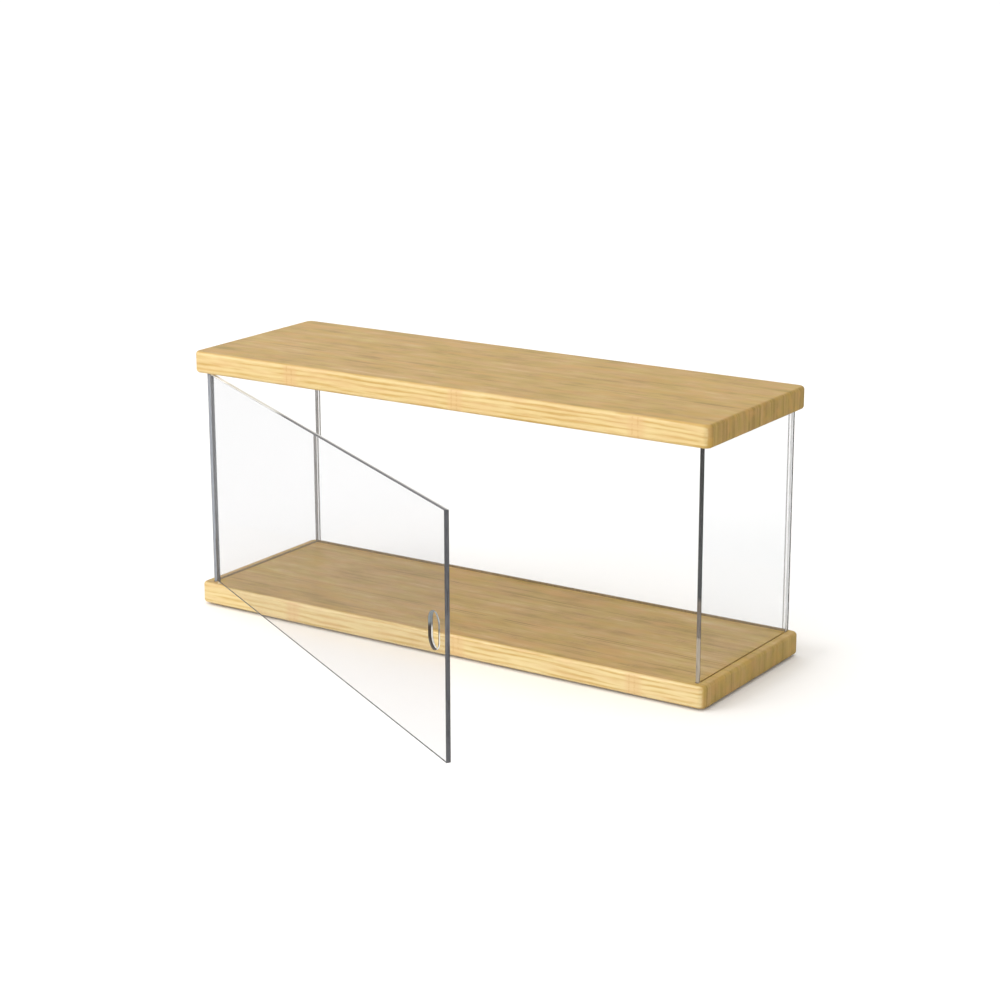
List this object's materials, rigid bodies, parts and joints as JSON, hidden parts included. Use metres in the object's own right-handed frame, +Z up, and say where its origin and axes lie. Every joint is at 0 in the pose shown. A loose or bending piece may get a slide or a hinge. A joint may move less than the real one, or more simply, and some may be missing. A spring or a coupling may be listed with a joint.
{
  "type": "acrylic display case",
  "caption": "Low display case: blond bamboo top and bottom boards held apart by clear acrylic sheets in grooves, with a clear pivot-hung front door and a finger slot.",
  "frame": {"origin": "middle of the plane that the four feet stand on, below the middle of the boards", "axes": "+X to the right along the boards, +Y to the back, +Z up; the door opens towards -Y"},
  "size_m": [0.4, 0.3203, 0.1815],
  "materials": {
    "bamboo": "satin",
    "acrylic": "polished",
    "pin_steel": "satin",
    "bush_nylon": "matte",
    "foot_silicone": "satin"
  },
  "bodies": {
    "case": {"bottom_board": "bamboo", "top_board": "bamboo", "left_panel": "acrylic", "right_panel": "acrylic", "back_panel": "acrylic", "lower_pivot_bush": "bush_nylon", "upper_pivot_bush": "bush_nylon", "foot_front_left": "foot_silicone", "foot_front_right": "foot_silicone", "foot_back_left": "foot_silicone", "foot_back_right": "foot_silicone"},
    "door": {"door_panel": "acrylic", "lower_pivot_pin": "pin_steel", "upper_pivot_pin": "pin_steel"}
  },
  "joints": [
    {"name": "door_swing", "type": "hinge", "parent": "case", "child": "door", "pos_m": [-0.18583, -0.0605, 0.0915], "axis": [0, 0, -1], "range_deg": [-30.7, 149.3]}
  ]
}
